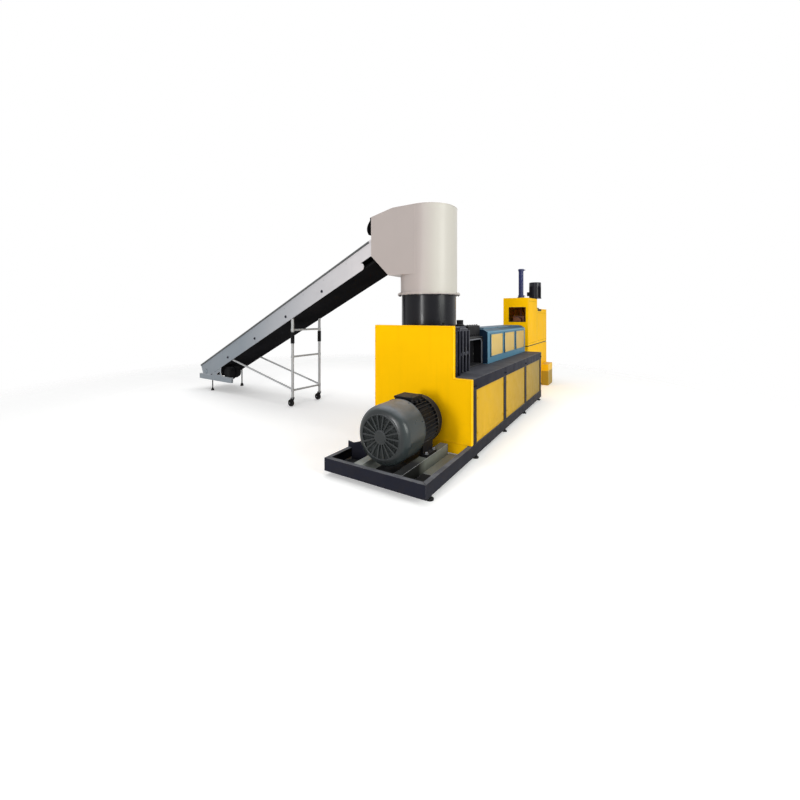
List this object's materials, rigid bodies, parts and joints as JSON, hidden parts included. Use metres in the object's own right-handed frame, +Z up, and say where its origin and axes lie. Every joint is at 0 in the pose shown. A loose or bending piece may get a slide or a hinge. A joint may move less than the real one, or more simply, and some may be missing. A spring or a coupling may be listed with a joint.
{
  "type": "plastic pelletizing machine",
  "caption": "Floor-standing plastic pelletizing machine: an inclined belt conveyor feeds a compactor drum and hood, which feeds a screw extruder on a skid with a pelletizer cabinet behind it.",
  "frame": {"origin": "middle of the footprint, on the floor", "axes": "+Y along the extruder from the main motor to the pelletizer, +X to the open side of the extruder bed away from the conveyor, +Z up"},
  "size_m": [6.6352, 6.8, 3.114],
  "materials": {
    "yellow_paint": "semi-gloss enamel",
    "yellow_panel": "satin enamel",
    "pale_panel": "satin enamel",
    "frame_paint": "satin enamel",
    "dark_paint": "satin enamel",
    "motor_paint": "gloss enamel",
    "drum_paint": "gloss enamel",
    "hood_paint": "satin enamel",
    "blue_paint": "satin enamel",
    "cylinder_paint": "gloss enamel",
    "grey_sheet": "satin",
    "tube_paint": "satin",
    "black_paint": "satin",
    "bare_steel": "machined",
    "black_rubber": "matte",
    "cast_iron": "painted casting"
  },
  "bodies": {
    "machine": {"skid_side_rails": "frame_paint", "skid_end_rails": "frame_paint", "skid_crossmembers": "black_paint", "outrigger": "frame_paint", "floor_feet": "black_paint", "deck_plate": "bare_steel", "jack_bracket": "frame_paint", "motor_rails": "bare_steel", "motor_housing": "black_paint", "motor_fan_cowl": "motor_paint", "motor_fan": "black_paint", "motor_end_shield": "black_paint", "motor_terminal_box": "black_paint", "belt_guard": "yellow_paint", "belt_housing": "dark_paint", "drive_cabinet": "yellow_paint", "bed_posts": "frame_paint", "bed_top": "dark_paint", "right_panels": "yellow_panel", "left_panels": "yellow_panel", "gearbox": "cast_iron", "gearbox_breather": "black_paint", "feed_section": "black_paint", "barrel_cover": "blue_paint", "cover_panels": "pale_panel", "die_adaptor": "bare_steel", "compactor_base": "yellow_paint", "drum_floor": "dark_paint", "compactor_drum": "drum_paint", "hood_collar": "hood_paint", "hood_side_walls": "hood_paint", "hood_round_wall": "hood_paint", "hood_floor": "hood_paint", "hood_roof": "hood_paint", "inlet_curtain": "black_rubber", "conveyor_sides": "grey_sheet", "conveyor_pan": "black_paint", "conveyor_belt": "black_rubber", "conveyor_rolls": "bare_steel", "conveyor_motor": "black_paint", "tail_stand": "grey_sheet", "stand_legs": "tube_paint", "leg_sleeves": "black_paint", "stand_tubes": "tube_paint", "pelletizer_base": "yellow_paint", "pelletizer_cabinet": "yellow_paint", "rear_cabinet": "yellow_paint", "screen_changer": "cast_iron", "slide_cylinder": "cylinder_paint", "cutter_motor": "drum_paint", "pellet_box": "yellow_panel"},
    "near_castor": {"near_fork": "black_paint"},
    "far_castor": {"far_fork": "black_paint"},
    "near_roller": {"near_wheel": "black_rubber"},
    "far_roller": {"far_wheel": "black_rubber"}
  },
  "joints": [
    {"name": "near_castor_swivel", "type": "hinge", "parent": "machine", "child": "near_castor", "pos_m": [-0.27812, -1.63743, 0.15], "axis": [0, 0, 1], "continuous": true},
    {"name": "near_wheel_roll", "type": "hinge", "parent": "near_castor", "child": "near_roller", "pos_m": [-0.31612, -1.63743, 0.062], "axis": [0, 1, 0], "continuous": true},
    {"name": "far_castor_swivel", "type": "hinge", "parent": "machine", "child": "far_castor", "pos_m": [-0.25814, -1.00175, 0.15], "axis": [0, 0, 1], "continuous": true},
    {"name": "far_wheel_roll", "type": "hinge", "parent": "far_castor", "child": "far_roller", "pos_m": [-0.29614, -1.00175, 0.062], "axis": [0, 1, 0], "continuous": true}
  ]
}
